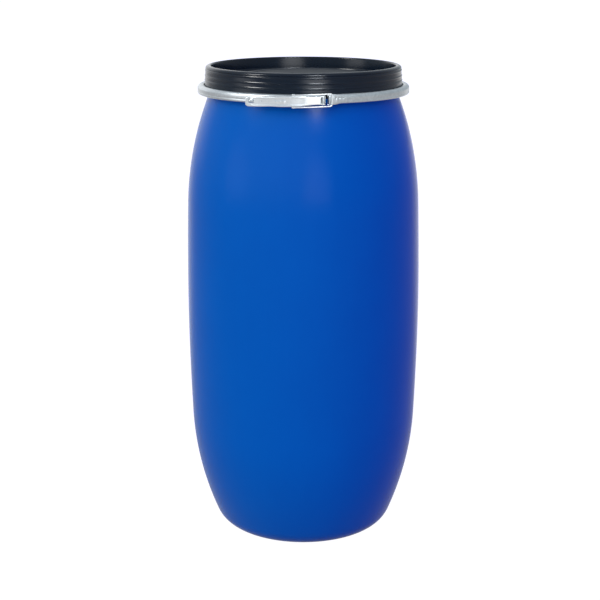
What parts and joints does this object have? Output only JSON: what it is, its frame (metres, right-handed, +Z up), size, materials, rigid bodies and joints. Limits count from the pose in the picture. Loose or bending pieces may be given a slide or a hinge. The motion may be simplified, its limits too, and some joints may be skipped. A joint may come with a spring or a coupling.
{
  "type": "open head drum",
  "caption": "Tall blow-moulded open head drum with rounded shoulders and base, a deep collared lid with a seal, and a split steel clamp ring closed by a toggle lever.",
  "frame": {"origin": "centre of the base, on the plane that the drum stands on", "axes": "+Z up along the drum's axis, -Y towards the front where the ring's lever is, +X to the right seen from the front"},
  "size_m": [0.4956, 0.4956, 1.0044],
  "materials": {
    "blue_polyethylene": "blow-moulded high-density polyethylene, satin, with a very fine grain",
    "black_polyethylene": "injection-moulded polyethylene, blue-black, semi-gloss",
    "seal_rubber": "soft closed-cell seal, matt",
    "galvanised_steel": "cold-rolled strip, hot-dip galvanised, faint spangle",
    "bright_zinc": "pressed steel, bright zinc plated",
    "plated_pin": "riveted steel pin, zinc plated"
  },
  "bodies": {
    "drum": {"drum_body": "blue_polyethylene"},
    "lid": {"lid": "black_polyethylene", "lid_seal": "seal_rubber"},
    "ring": {"clamp_band": "galvanised_steel", "fulcrum_bracket": "galvanised_steel", "fulcrum_pin": "plated_pin", "hook_bracket": "galvanised_steel", "seal_tab": "galvanised_steel"},
    "lever": {"closing_lever": "bright_zinc", "link_pin": "plated_pin"},
    "link": {"tension_link": "bright_zinc"}
  },
  "joints": [
    {"name": "lid_lift", "type": "slide", "parent": "drum", "child": "lid", "axis": [0, 0, 1], "range_m": [0, 0.25]},
    {"name": "ring_lift", "type": "slide", "parent": "drum", "child": "ring", "axis": [0, 0, 1], "range_m": [0, 0.42]},
    {"name": "lever_hinge", "type": "hinge", "parent": "ring", "child": "lever", "pos_m": [0.0383, -0.22405, 0.955], "axis": [0, 0, 1], "range_deg": [0, 120]},
    {"name": "link_hinge", "type": "hinge", "parent": "lever", "child": "link", "pos_m": [-0.01902, -0.2265, 0.9534], "axis": [0, 0, 1], "range_deg": [-120, 0]}
  ],
  "couplings": [
    {"joint": "link_hinge", "follows": "lever_hinge", "ratio": -1}
  ]
}
